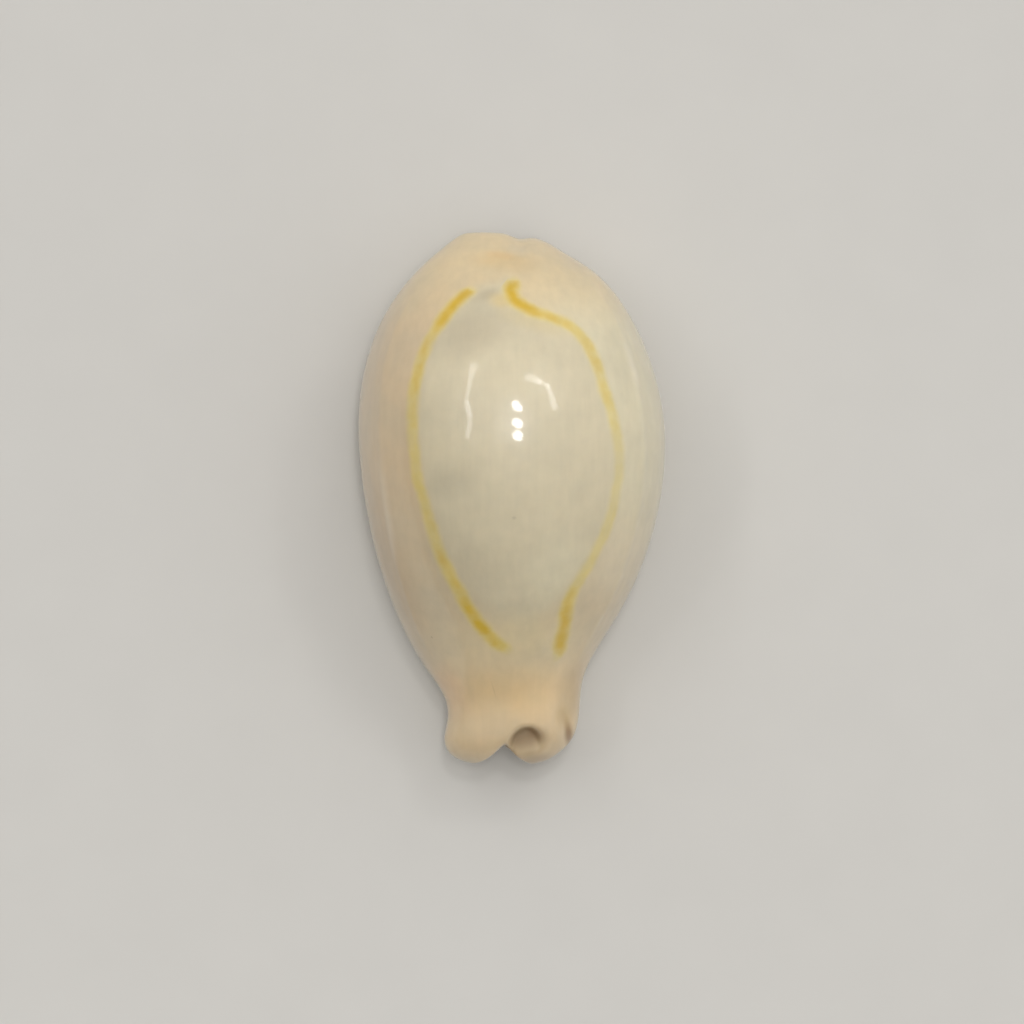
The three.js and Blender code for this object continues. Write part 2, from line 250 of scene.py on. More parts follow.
# The studio's small lamps, by where each one shows in the glaze: the x and y of its two ends on the back,
# in millimetres, then half its width in degrees and its brightness. A round lamp's ends are one place.
LAMPS = [
    ((0.26, 4.4), (0.26, 4.4), 3.1, 26.0),
    ((0.35, 3.71), (0.35, 3.71), 3.1, 26.0),
    ((0.35, 2.93), (0.35, 2.93), 3.1, 26.0),
    ((-1.96, 6.4), (-2.2, 4.95), 1.7, 4.5),
    ((-2.23, 4.68), (-2.08, 4.0), 2.1, 6.5),
    ((-2.06, 3.72), (-2.2, 2.95), 1.8, 5.0),
    ((0.8, 5.82), (1.35, 5.74), 2.1, 5.6),
    ((1.38, 5.73), (1.68, 5.45), 1.8, 4.0),
    ((1.7, 5.42), (2.02, 4.54), 1.8, 6.4),
]
LAMP_EDGE_SHARE = 0.25

# The room: how far round from the lit side it is dimmest, and how far below level it turns black
DIMMEST = -0.8
HORIZON = -0.03

# Paint of the floor, with its texture's size in millimetres, and the sides of the floor's round outline
PAINT = {"size": 4.0, "least": 0.98, "most": 1.02, "roughness": 0.9}
FLOOR_SIDES = 96

# The camera: focal length, what it aims at in millimetres, and how near and far it sees in metres
CAMERA = {"lens": 500, "x": 0.01, "y": -0.68, "z": 3.8, "near": 0.01, "far": 10}

# Indices of the colour sockets of a Mix node
MIX_A, MIX_B, MIX_COLOUR = 6, 7, 2

# Settings that many nodes share
SMOOTH = {"interpolation_type": "SMOOTHSTEP"}
TIMES, DIVIDED, PLUS, MINUS, FUSED, SCALED, UNSIGNED, DOT = ({"operation": name} for name in (
    "MULTIPLY", "DIVIDE", "ADD", "SUBTRACT", "MULTIPLY_ADD", "SCALE", "ABSOLUTE", "DOT_PRODUCT"))


def linear(hex_colour):
    """The linear red, green and blue of an sRGB hex colour."""
    parts = [int(hex_colour[i:i + 2], 16) / 255 for i in (1, 3, 5)]
    return tuple(c / 12.92 if c <= 0.04045 else ((c + 0.055) / 1.055) ** 2.4 for c in parts)


def add_node(tree, kind, settings=None, inputs=None):
    """Adds one node to a tree, sets its properties, and gives its inputs their values or links."""
    node = tree.nodes.new(kind)
    for name, value in (settings or {}).items():
        setattr(node, name, value)
    for key, value in (inputs or {}).items():
        if isinstance(value, bpy.types.NodeSocket):
            tree.links.new(value, node.inputs[key])
        else:
            node.inputs[key].default_value = value
    return node


def ease(start, end, value):
    """Runs smoothly from 0 at one value to 1 at another, which may be the lower of the two."""
    share = np.clip((value - start) / (end - start), 0, 1)
    return share * share * (3 - 2 * share)


def mix(a, b, share):
    return a + (b - a) * share


def along_shell(amounts, y):
    """A value that takes three given amounts at the spire tip, the middle and the canal tip."""
    spire, middle, canal = amounts
    share = y / ROWS[0, 0]
    return middle + (spire - canal) / 2 * share + ((spire + canal) / 2 - middle) * share**2


def closed_spline(knots, points, places):
    """Points at the given places of the smooth closed curve that passes through points at the knots."""
    count = len(points)
    step = np.diff(knots)
    before = np.roll(step, 1)
    slope = (np.roll(points, -1, 0) - points) / step[:, None]
    index = np.arange(count)
    system = np.zeros((count, count))
    system[index, index] = 2 * (before + step)
    system[index, (index + 1) % count] = step
    system[index, index - 1] = before
    bend = np.linalg.solve(system, 6 * (slope - np.roll(slope, 1, 0)))
    here = np.clip(np.searchsorted(knots, places, "right") - 1, 0, count - 1)
    there = (here + 1) % count
    size = step[here][:, None]
    done = (places - knots[here])[:, None]
    left = size - done
    curved = (bend[here] * left**3 + bend[there] * done**3) / (6 * size)
    straight = (points[here] * left + points[there] * done) / size
    return curved + straight - size / 6 * (bend[here] * left + bend[there] * done)


def sections():
    """Everything that sets the cross-sections, from the spire tip to the canal tip, as columns."""
    profile = np.column_stack([ROWS[:, 0], (ROWS[:, 2] - ROWS[:, 1]) / 2, (ROWS[:, 3] - ROWS[:, 4]) / 2])
    steps = np.linalg.norm(np.diff(profile, axis=0), axis=1)
    knots = np.concatenate([[0], np.cumsum(np.concatenate([steps, steps[::-1]]))])
    loop = np.vstack([ROWS[:, [0, 2, 3]], ROWS[-2:0:-1, [0, 1, 4]]])
    share = np.linspace(TIP_GAP, 1 - TIP_GAP, SECTIONS)
    share = share - TIP_CROWDING * np.sin(2 * np.pi * share) / (2 * np.pi)
    place = share * knots[-1] / 2
    y, right, top = closed_spline(knots, loop, place).T[:, :, None]
    left, base = closed_spline(knots, loop, knots[-1] - place).T[1:, :, None]
    room = np.minimum(1, (right - left) / SLIT_FULL_AT_WIDTH)
    middle = (left + right) / 2
    to_tip = ease(MARGIN_RISE["start"], MARGIN_RISE["full"], abs(y))
    rise = mix(MARGIN_RISE["middle"], MARGIN_RISE["tips"], to_tip)
    return {
        "y": y, "left": left, "right": right, "top": top, "base": base, "middle": middle,
        "margin": mix(base, top, rise),
        "slit": mix(middle, along_shell(SLIT_X, y), room),
        "half_slit": along_shell(SLIT_HALF_WIDTH, y) * room,
        "lip": LIP_RADIUS * room,
        "roof": base + np.minimum(SLIT_DEPTH, SLIT_DEPTH_SHARE * (top - base)),
    }


def half_section(cut, side):
    """Half of every section, from the slit's wall round to the crest. Gives x, z, how far each point lies
    out from the lip (below 0 up the slit's wall), which way a groove between teeth cuts there, and how far
    round the back it is from the margin, in radians (below 0 on the underside)."""
    edge = cut["right"] if side > 0 else cut["left"]
    lip, base, margin = cut["lip"], cut["base"], cut["margin"]
    lip_x = cut["slit"] + side * cut["half_slit"]
    flat_x = lip_x + side * lip
    flat = np.zeros_like(lip)

    down = np.arange(1, WALL_STEPS + 1) / (WALL_STEPS + 1)
    wall_x = cut["slit"] + side * cut["half_slit"] * (1 - SLIT_ROOF_NARROWING * (1 - down) ** 2)
    wall_z = mix(cut["roof"], base + lip, down)

    turn = np.linspace(0, np.pi / 2, LIP_STEPS + 1)
    round_x = lip_x + side * lip * (1 - np.cos(turn))
    round_z = base + lip * (1 - np.sin(turn))

    turn_out = np.pi / 4 * (1 - np.cos(np.pi * np.arange(1, BASE_STEPS + 1) / BASE_STEPS))
    base_x = mix(flat_x, edge, np.sin(turn_out) ** (2 / BASE_FULLNESS))
    base_z = mix(base, margin, 1 - np.clip(np.cos(turn_out), 0, 1) ** (2 / BASE_FULLNESS))

    turn_up = np.pi / 2 * np.arange(1, BACK_STEPS) / BACK_STEPS
    bulge = 1 + BACK_FULLNESS * np.sin(2 * turn_up) ** 2
    fade = ease(RIDGE["spire_y"], RIDGE["spire_y"] - RIDGE["fade"], cut["y"])
    fade = fade * ease(RIDGE["canal_y"], RIDGE["canal_y"] + RIDGE["fade"], cut["y"])
    from_ridge = turn_up - RIDGE["turn"]
    ridge = RIDGE["rise"] * np.exp(-((from_ridge / RIDGE["half_turn"]) ** 2))
    ridge = fade * (ridge + RIDGE_CREST["rise"] * np.exp(-((from_ridge / RIDGE_CREST["half_turn"]) ** 2)))
    back_x = mix(cut["middle"], edge, bulge * np.cos(turn_up)) + side * ridge * np.cos(turn_up)
    back_z = mix(margin, cut["top"], bulge * np.sin(turn_up)) + ridge * np.sin(turn_up)

    x = np.hstack([wall_x, round_x, base_x, back_x])
    z = np.hstack([wall_z, round_z, base_z, back_z])
    on_wall, on_lip, on_base, on_back = (flat + 0 * steps for steps in (down, turn, turn_out, turn_up))
    from_lip = np.hstack([base + lip - wall_z, on_lip, abs(base_x - flat_x), on_back + FAR_FROM_LIP])
    way_x = np.hstack([on_wall + side, on_lip + side * np.cos(turn), on_base, on_back])
    way_z = np.hstack([on_wall, on_lip + np.sin(turn), on_base + 1, on_back])
    turns = np.hstack([on_wall - 1, on_lip - 1, on_base + turn_out - np.pi / 2, on_back + turn_up])
    return x, z, from_lip, way_x, way_z, turns


def finish_tips(points):
    """Gives the plain shell its notches at the tips and the fold on the right lobe."""
    x, y, z = points.T
    across = abs(x - NOTCH["x"]) / np.where(x < NOTCH["x"], NOTCH["left"], NOTCH["right"])
    notch = NOTCH["depth"] * np.exp(-(across ** NOTCH["sharpness"]))
    past = y - (ROWS[-1, 0] + notch)
    in_front = (np.hypot(past, NOTCH["edge"] * notch) - past) / 2
    rear_across = (x - REAR_NOTCH["x"]) / REAR_NOTCH["half_width"]
    at_rear = ease(REAR_NOTCH["start_y"], REAR_NOTCH["full_y"], y)
    rear = REAR_NOTCH["depth"] * np.exp(-(rear_across**2)) * at_rear
    (start_x, start_y), (end_x, end_y) = FOLD["start"], FOLD["end"]
    along = (y - start_y) / (end_y - start_y)
    from_fold = (x - mix(start_x, end_x, along)) / FOLD["half_width"]
    lengthwise = ease(0, FOLD_FADE["full"], along) * ease(FOLD_FADE["gone"], FOLD_FADE["falling"], along)
    lengthwise = lengthwise * ease(FOLD_FADE["low_z"], FOLD_FADE["high_z"], z)
    fold = FOLD["depth"] * np.exp(-(from_fold**2)) * lengthwise
    return np.column_stack([x, y + in_front - rear, z - fold])


def scoop_mouth(points):
    """Scoops out the canal's mouth: steep under its arched rim, with a floor that rises gently and runs
    out into the rounded lobe. Gives the new points and how far each one was lowered."""
    x, y, z = points.T
    middle_x, middle_y = MOUTH["middle"]
    up = np.maximum(y - middle_y, 0) / MOUTH["reach"]
    aside = (x - middle_x) / MOUTH["half_width"]
    side_rim = np.where(aside > 0, MOUTH["right_rim"], MOUTH["left_rim"])
    steep = mix(MOUTH["rim"], side_rim, ease(0, 1, abs(aside)))
    rim = ease(1, 1 - steep, np.hypot(aside, up))
    floor = ease(MOUTH["out_y"], MOUTH["deep_y"], y - MOUTH["lean"] * (x - middle_x))
    lowered = MOUTH["depth"] * rim * floor * ease(MOUTH["low_z"], MOUTH["high_z"], z)
    return np.column_stack([x, y, z - lowered]), lowered


def shell_mesh(sizes):
    """The shell before its grooves: a closed mesh with what the grooves and the glaze need at each point."""
    cut = sections()
    right, left = half_section(cut, 1), half_section(cut, -1)
    flat = np.zeros_like(cut["y"])
    roofs = (cut["slit"], cut["roof"], cut["base"] + cut["lip"] - cut["roof"], flat, flat, flat - 1)
    crests = (cut["middle"], cut["top"], flat + FAR_FROM_LIP, flat, flat, flat + np.pi / 2)
    around = [np.hstack([r, a, c, b[:, ::-1]]) for r, a, c, b in zip(roofs, right, crests, left)]
    x, z, from_lip, way_x, way_z, turns = around
    rows, columns = x.shape
    points = np.column_stack([x.ravel(), np.broadcast_to(cut["y"], x.shape).ravel(), z.ravel()])
    tips = ROWS[[0, -1]][:, [1, 0, 3]]
    points, lowered = scoop_mouth(finish_tips(np.vstack([points, tips])))
    points[:, 2] = np.maximum(points[:, 2], 0)

    low, high = points.min(0), points.max(0)
    fit = np.array([sizes.width, sizes.length, sizes.height]) / (high - low)
    points = (points - [(low[0] + high[0]) / 2, (low[1] + high[1]) / 2, low[2]]) * fit

    corner = np.arange(rows * columns).reshape(rows, columns)
    beside = np.roll(corner, -1, 1)
    quads = np.stack([corner[:-1], beside[:-1], beside[1:], corner[1:]], -1).reshape(-1, 4)
    spire, canal = rows * columns, rows * columns + 1
    fans = [(spire, b, a) for a, b in zip(corner[0], beside[0])]
    fans += [(canal, a, b) for a, b in zip(corner[-1], beside[-1])]
    mesh = bpy.data.meshes.new("cowrie_shell")
    mesh.from_pydata(points, [], quads.tolist() + [tuple(map(int, fan)) for fan in fans])
    mesh.shade_smooth()

    way = np.column_stack([way_x.ravel(), np.zeros(rows * columns), way_z.ravel()])
    row_side = np.where(np.arange(columns) < columns // 2, 1.0, 0.0)
    kept = {
        "from_lip": np.append(from_lip.ravel(), [FAR_FROM_LIP] * 2),
        "right_row": np.append(np.tile(row_side, rows), [0, 0]),
        "mouth_depth": lowered,
        "back_turn": np.append(turns.ravel(), [0, 0]),
    }
    for name, values in kept.items():
        mesh.attributes.new(name, "FLOAT", "POINT").data.foreach_set("value", values)
    ways = mesh.attributes.new("groove_way", "FLOAT_VECTOR", "POINT")
    ways.data.foreach_set("vector", np.vstack([way, np.zeros((2, 3))]).ravel())
    return mesh


def ray_tree(mesh):
    return BVHTree.FromPolygons([v.co for v in mesh.vertices], [p.vertices for p in mesh.polygons])


def surface_at(tree, x, y):
    """The point of the back straight below x, y, given in millimetres, and the way the surface faces there."""
    point, normal = tree.ray_cast(Vector((x * MM, y * MM, LOOK_FROM)), Vector((0, 0, -1)))[:2]
    if point is None:
        raise RuntimeError(f"there is no shell under {x}, {y}")
    return point, normal


def ring_path(mesh):
    """The ring's middle line as a closed curve on the back; its radius is the strength of the gold."""
    tree = ray_tree(mesh)
    curve = bpy.data.curves.new("ring_path", "CURVE")
    curve.dimensions = "3D"
    spline = curve.splines.new("BEZIER")
    spline.bezier_points.add(len(RING) - 1)
    spline.use_cyclic_u = True
    for bend, (x, y, strength) in zip(spline.bezier_points, RING):
        bend.co = surface_at(tree, x, y)[0]
        bend.handle_left_type = bend.handle_right_type = "AUTO"
        bend.radius = strength
    path = bpy.data.objects.new("ring_path", curve)
    bpy.context.collection.objects.link(path)
    return path


def teeth_and_ring():
    """The tree that cuts the grooves between the teeth, ripples the back and measures from the ring."""
    tree = bpy.data.node_groups.new("teeth and ring", "GeometryNodeTree")
    face = tree.interface
    face.new_socket("Shell", in_out="OUTPUT", socket_type="NodeSocketGeometry")
    face.new_socket("Shell", in_out="INPUT", socket_type="NodeSocketGeometry")
    for name in ("Tooth pitch", "Groove depth", "Teeth", "Ripple height", "Ripple size"):
        face.new_socket(name, in_out="INPUT", socket_type="NodeSocketFloat")
    face.new_socket("Ring path", in_out="INPUT", socket_type="NodeSocketObject")
    face.new_socket("Glaze", in_out="INPUT", socket_type="NodeSocketMaterial")
    given = add_node(tree, "NodeGroupInput").outputs
    position = add_node(tree, "GeometryNodeInputPosition").outputs[0]
    split = add_node(tree, "ShaderNodeSeparateXYZ", inputs={0: position}).outputs
    kinds = {"right_row": "FLOAT", "from_lip": "FLOAT", "groove_way": "FLOAT_VECTOR", "gold": "FLOAT"}
    kept = {}
    for name, kind in kinds.items():
        kept[name] = add_node(
            tree, "GeometryNodeInputNamedAttribute", {"data_type": kind}, {"Name": name}).outputs[0]

    # Place along the row of teeth, counted in teeth
    from_end = add_node(tree, "ShaderNodeMath", MINUS, {0: TEETH_END_Y * MM, 1: split["Y"]}).outputs[0]
    along = add_node(tree, "ShaderNodeMath", DIVIDED, {0: from_end, 1: given["Tooth pitch"]}).outputs[0]
    place = add_node(tree, "ShaderNodeMath", FUSED, {0: kept["right_row"], 1: 0.5, 2: along}).outputs[0]

    # Each groove is deepest midway between two teeth and fades at both ends of the row
    half_turns = add_node(tree, "ShaderNodeMath", TIMES, {0: place, 1: math.pi}).outputs[0]
    wave = add_node(tree, "ShaderNodeMath", {"operation": "SINE"}, {0: half_turns}).outputs[0]
    hollow = add_node(tree, "ShaderNodeMath", TIMES, {0: wave, 1: wave}).outputs[0]
    last = add_node(tree, "ShaderNodeMath", PLUS, {0: given["Teeth"], 1: 0.5}).outputs[0]
    to_end = add_node(tree, "ShaderNodeMath", MINUS, {0: last, 1: place}).outputs[0]
    shares = [hollow]
    for value in (place, to_end):
        shares.append(add_node(tree, "ShaderNodeMapRange", SMOOTH, {"Value": value, 1: 0.0, 2: 0.5}).outputs[0])

    # How far it reaches differs a little from groove to groove
    number = add_node(tree, "ShaderNodeMath", {"operation": "FLOOR"}, {0: place}).outputs[0]
    key = add_node(
        tree, "ShaderNodeMath", FUSED, {0: kept["right_row"], 1: TOOTH_KEYS_APART, 2: number}).outputs[0]
    vary = add_node(
        tree, "FunctionNodeRandomValue", {"data_type": "FLOAT"},
        {2: 1 - TOOTH_REACH_SPREAD, 3: 1 + TOOTH_REACH_SPREAD, "ID": key, "Seed": TOOTH_SEED},
    ).outputs[1]
    side_reach = add_node(
        tree, "ShaderNodeMapRange", {},
        {"Value": kept["right_row"], 3: TOOTH_REACH["left"], 4: TOOTH_REACH["right"]},
    ).outputs[0]
    reach = add_node(tree, "ShaderNodeMath", TIMES, {0: side_reach, 1: vary}).outputs[0]
    for limit in (reach, -TOOTH_WALL_REACH):
        shares.append(add_node(
            tree, "ShaderNodeMapRange", SMOOTH, {"Value": kept["from_lip"], 1: limit, 2: 0.0}).outputs[0])
    depth = given["Groove depth"]
    for share in shares:
        depth = add_node(tree, "ShaderNodeMath", TIMES, {0: depth, 1: share}).outputs[0]
    groove = add_node(tree, "ShaderNodeVectorMath", SCALED, {0: kept["groove_way"], "Scale": depth}).outputs[0]
    toothed = add_node(
        tree, "GeometryNodeSetPosition", inputs={"Geometry": given["Shell"], "Offset": groove}).outputs[0]

    # Faint ripples that make the reflections on the back waver
    per_ripple = add_node(tree, "ShaderNodeMath", DIVIDED, {0: 1.0, 1: given["Ripple size"]}).outputs[0]
    noise = add_node(
        tree, "ShaderNodeTexNoise", {}, {"Vector": position, "Scale": per_ripple, "Detail": 0.0}).outputs[0]
    height = add_node(tree, "ShaderNodeMath", MINUS, {0: noise, 1: 0.5}).outputs[0]
    low, high = (z * MM for z in RIPPLE_FADE_Z)
    on_back = add_node(tree, "ShaderNodeMapRange", SMOOTH, {"Value": split["Z"], 1: low, 2: high}).outputs[0]
    for share in (on_back, given["Ripple height"]):
        height = add_node(tree, "ShaderNodeMath", TIMES, {0: height, 1: share}).outputs[0]
    normal = add_node(tree, "GeometryNodeInputNormal").outputs[0]
    lift = add_node(tree, "ShaderNodeVectorMath", SCALED, {0: normal, "Scale": height}).outputs[0]
    shell = add_node(tree, "GeometryNodeSetPosition", inputs={"Geometry": toothed, "Offset": lift}).outputs[0]

    # Distance from the ring in millimetres, below 0 inside it, and the strength of the gold nearby
    ring = add_node(
        tree, "GeometryNodeObjectInfo", {"transform_space": "RELATIVE"}, {"Object": given["Ring path"]},
    ).outputs["Geometry"]
    fine = add_node(
        tree, "GeometryNodeResampleCurve", {"mode": "LENGTH"}, {"Curve": ring, "Length": RING_STEP * MM},
    ).outputs[0]
    gold = add_node(tree, "GeometryNodeInputRadius").outputs[0]
    on_points = {"data_type": "FLOAT", "domain": "POINT"}
    marked = add_node(
        tree, "GeometryNodeStoreNamedAttribute", on_points, {"Geometry": fine, "Name": "gold", "Value": gold},
    ).outputs[0]
    line = add_node(tree, "GeometryNodeCurveToMesh", {}, {"Curve": marked}).outputs[0]
    away = add_node(tree, "GeometryNodeProximity", {"target_element": "EDGES"}, {0: line}).outputs["Distance"]
    nearest = add_node(tree, "GeometryNodeSampleNearest", {"domain": "POINT"}, {"Geometry": line}).outputs[0]
    strength = add_node(
        tree, "GeometryNodeSampleIndex", on_points, {"Geometry": line, "Value": kept["gold"], "Index": nearest},
    ).outputs[0]
    inner = add_node(tree, "GeometryNodeFillCurve", {"mode": "TRIANGLES"}, {"Curve": fine}).outputs[0]
    over = add_node(
        tree, "GeometryNodeRaycast", {"data_type": "FLOAT"},
        {"Target Geometry": inner, "Ray Direction": (0, 0, -1), "Ray Length": LOOK_FROM},
    ).outputs["Is Hit"]
    raised = add_node(
        tree, "FunctionNodeCompare", {"data_type": "FLOAT", "operation": "GREATER_THAN"},
        {0: split["Z"], 1: RING_LOW_Z * MM},
    ).outputs[0]
    inside = add_node(tree, "FunctionNodeBooleanMath", {"operation": "AND"}, {0: over, 1: raised}).outputs[0]
    sign = add_node(tree, "ShaderNodeMapRange", {}, {"Value": inside, 3: 1 / MM, 4: -1 / MM}).outputs[0]
    signed = add_node(tree, "ShaderNodeMath", TIMES, {0: away, 1: sign}).outputs[0]
    for name, value in (("ring_distance", signed), ("ring_strength", strength)):
        shell = add_node(
            tree, "GeometryNodeStoreNamedAttribute", on_points,
            {"Geometry": shell, "Name": name, "Value": value},
        ).outputs[0]

    whole = add_node(tree, "GeometryNodeRealizeInstances", {}, {"Geometry": shell}).outputs[0]
    glazed = add_node(
        tree, "GeometryNodeSetMaterial", {}, {"Geometry": whole, "Material": given["Glaze"]}).outputs[0]
    add_node(tree, "NodeGroupOutput", inputs={0: glazed})
    return tree


def shell_glaze(colours, sizes):
    """Cowrie enamel: aragonite laid down by the living mantle in thin clear layers, as glossy as glazed
    porcelain. The eye sees sharp small reflections over a soft body colour with stains at several depths,
    and with painted light and shade: a painted highlight along the margins' ridge, painted shade on the
    lower flanks and in the mouth of the canal, and painted light on the left neck and the lower window."""
    material = bpy.data.materials.new("cowrie_enamel")
    material.use_nodes = True
    tree = material.node_tree
    tree.nodes.clear()
    colour_mix = {"data_type": "RGBA"}

    # The place in millimetres, what the mesh keeps at each point, and the irregular patterns
    coords = add_node(tree, "ShaderNodeTexCoord").outputs["Object"]
    at = add_node(tree, "ShaderNodeVectorMath", SCALED, {0: coords, "Scale": 1 / MM}).outputs[0]
    split = add_node(tree, "ShaderNodeSeparateXYZ", inputs={0: at}).outputs
    per_streak = tuple(1 / size for size in STREAK_SIZE)
    drawn_out = add_node(tree, "ShaderNodeVectorMath", TIMES, {0: at, 1: per_streak}).outputs[0]
    kept, pattern, hollow, area = {}, {}, {}, {}
    for name in ("ring_distance", "ring_strength", "from_lip", "mouth_depth", "back_turn"):
        kept[name] = add_node(tree, "ShaderNodeAttribute", {"attribute_name": name}).outputs["Fac"]
    for name, (size, detail, run, (low, high), (first, last)) in PATTERNS.items():
        vector = drawn_out if name == "streaks" else at
        noise = add_node(
            tree, "ShaderNodeTexNoise", {}, {"Vector": vector, "Scale": 1 / size, "Detail": detail}).outputs[0]
        pattern[name] = add_node(
            tree, "ShaderNodeMapRange", {"interpolation_type": run},
            {"Value": noise, 1: low, 2: high, 3: first, 4: last},
        ).outputs[0]
    for name, (measure, (start, full), (first, last)) in HOLLOWS.items():
        hollow[name] = add_node(
            tree, "ShaderNodeMapRange", SMOOTH, {"Value": kept[measure], 1: start, 2: full, 3: first, 4: last},
        ).outputs[0]

    # Margins, their lower flanks, warmer and darker with painted shade, the blushed ends, the window inside the
    # ring, and the underside
    for name, (axis, start, full) in AREAS.items():
        area[name] = add_node(
            tree, "ShaderNodeMapRange", SMOOTH, {"Value": split[axis], 1: start, 2: full}).outputs[0]
    outer, inner, low_inner, from_y, to_y = WINDOW.values()
    inner_edge = add_node(
        tree, "ShaderNodeMapRange", SMOOTH, {"Value": split["Y"], 1: from_y, 2: to_y, 3: inner, 4: low_inner},
    ).outputs[0]
    area["window"] = add_node(
        tree, "ShaderNodeMapRange", SMOOTH, {"Value": kept["ring_distance"], 1: outer, 2: inner_edge},
    ).outputs[0]

    # The painted highlight along the crest of each margin's ridge: a pale line, broken here and there
    off_crest = add_node(tree, "ShaderNodeMath", MINUS, {0: kept["back_turn"], 1: RIDGE["turn"]}).outputs[0]
    off_crest = add_node(tree, "ShaderNodeMath", UNSIGNED, {0: off_crest}).outputs[0]
    on_crest = add_node(
        tree, "ShaderNodeMapRange", SMOOTH,
        {"Value": off_crest, 1: RIDGE_HIGHLIGHT["half_turn"], 2: 0.0, 4: RIDGE_HIGHLIGHT["amount"]},
    ).outputs[0]
    top = add_node(
        tree, "ShaderNodeMapRange", {},
        {"Value": area["right_margin"], 3: RIDGE_HIGHLIGHT["left_top"], 4: RIDGE_HIGHLIGHT["right_top"]},
    ).outputs[0]
    to_top = add_node(tree, "ShaderNodeMath", MINUS, {0: top, 1: split["Y"]}).outputs[0]
    below_top = add_node(
        tree, "ShaderNodeMapRange", SMOOTH, {"Value": to_top, 1: 0.0, 2: RIDGE_HIGHLIGHT["top_fade"]}).outputs[0]
    for share in (pattern["ridge_breaks"], below_top, on_crest):
        area["ridge"] = add_node(tree, "ShaderNodeMath", TIMES, {0: area["ridge"], 1: share}).outputs[0]

    order = ("right_margin", "spire_end", "warm_shaded_flanks", "canal_end", "window", "underside", "ridge")
    layers = [(area[name], getattr(colours, name)) for name in order]

    # Stains, painted light and painted shade, each one fading out from its middle
    for name, middle, radii, turn, stain, amount in STAINS:
        placed = add_node(
            tree, "ShaderNodeMapping", {"vector_type": "TEXTURE", "label": name},
            {"Vector": at, "Location": middle, "Rotation": (0, 0, math.radians(turn)), "Scale": radii},
        ).outputs[0]
        blot = add_node(
            tree, "ShaderNodeTexGradient", {"gradient_type": "SPHERICAL"}, {0: placed}).outputs["Fac"]
        share = add_node(
            tree, "ShaderNodeMapRange", SMOOTH, {"Value": blot, 1: 0.0, 2: STAIN_FULL, 4: amount}).outputs[0]
        layers.append((share, linear(stain)))

    # The ring: a soft pale-gold edge and an amber core, patchy and wavering a tenth of a millimetre
    strength = add_node(
        tree, "ShaderNodeMath", TIMES, {0: kept["ring_strength"], 1: pattern["ring_patches"]}).outputs[0]
    wavered = add_node(
        tree, "ShaderNodeMath", PLUS, {0: kept["ring_distance"], 1: pattern["ring_wander"]}).outputs[0]
    off_line = add_node(tree, "ShaderNodeMath", UNSIGNED, {0: wavered}).outputs[0]
    width = sizes.ring_half_width / MM
    spread = add_node(
        tree, "ShaderNodeMapRange", {}, {"Value": strength, 3: 1 / width, 4: RING_WIDENING / width}).outputs[0]
    off_line = add_node(tree, "ShaderNodeMath", TIMES, {0: off_line, 1: spread}).outputs[0]
    for name, far, near, run, start, full, amount in RING_BANDS:
        band = add_node(tree, "ShaderNodeMapRange", SMOOTH, {"Value": off_line, 1: far, 2: near}).outputs[0]
        gold = add_node(
            tree, "ShaderNodeMapRange", {"interpolation_type": run},
            {"Value": strength, 1: start, 2: full, 4: amount},
        ).outputs[0]
        share = add_node(tree, "ShaderNodeMath", TIMES, {0: band, 1: gold}).outputs[0]
        layers.append((share, getattr(colours, name)))

    # Each layer over the ones before it, then clouding, mottling and lengthwise growth streaks
    layers.append((pattern["clouding"], colours.clouding))
    body = (*colours.left_margin, 1)
    for share, colour in layers:
        body = add_node(
            tree, "ShaderNodeMix", colour_mix, {0: share, MIX_A: body, MIX_B: (*colour, 1)}).outputs[MIX_COLOUR]
    for name in ("mottle", "streaks"):
        body = add_node(tree, "ShaderNodeVectorMath", SCALED, {0: body, "Scale": pattern[name]}).outputs[0]

    # A few dark specks under the skin, painted shade with brown in the mouth of the canal, and brown deep in
    # the slit
    cells = add_node(tree, "ShaderNodeTexVoronoi", {}, {"Vector": at, "Scale": 1 / SPECKS["apart"]}).outputs
    spot = add_node(
        tree, "ShaderNodeMapRange", SMOOTH,
        {"Value": cells["Distance"], 1: SPECKS["rim"], 2: SPECKS["middle"], 4: SPECKS["amount"]},
    ).outputs[0]
    chance = add_node(tree, "ShaderNodeSeparateColor", inputs={0: cells["Color"]}).outputs[0]
    chosen = add_node(
        tree, "ShaderNodeMath", {"operation": "GREATER_THAN"}, {0: chance, 1: SPECKS["rarity"]}).outputs[0]
    speck = add_node(tree, "ShaderNodeMath", TIMES, {0: spot, 1: chosen}).outputs[0]
    dark_brown_and_shade = (*colours.brown_and_shade, 1)
    for share in (speck, hollow["mouth_shade_and_brown"], hollow["brown_slit"]):
        body = add_node(
            tree, "ShaderNodeMix", colour_mix, {0: share, MIX_A: body, MIX_B: dark_brown_and_shade}).outputs[MIX_COLOUR]

    # Slightly uneven polish of the body under the sharp clear skin, and a matt mouth
    polish = add_node(tree, "ShaderNodeMath", PLUS, {0: pattern["polish"], 1: hollow["dullness"]}).outputs[0]
    enamel = add_node(
        tree, "ShaderNodeBsdfPrincipled", {},
        {
            "Base Color": body, "Roughness": polish, "IOR": 1.53,
            "Subsurface Weight": 0.15, "Subsurface Radius": (1.0, 0.65, 0.4), "Subsurface Scale": 0.5 * MM,
            "Coat Weight": hollow["clear_skin"], "Coat Roughness": 0.07, "Coat IOR": 1.5,
        },
    ).outputs[0]
    add_node(tree, "ShaderNodeOutputMaterial", inputs={"Surface": enamel})
    return material


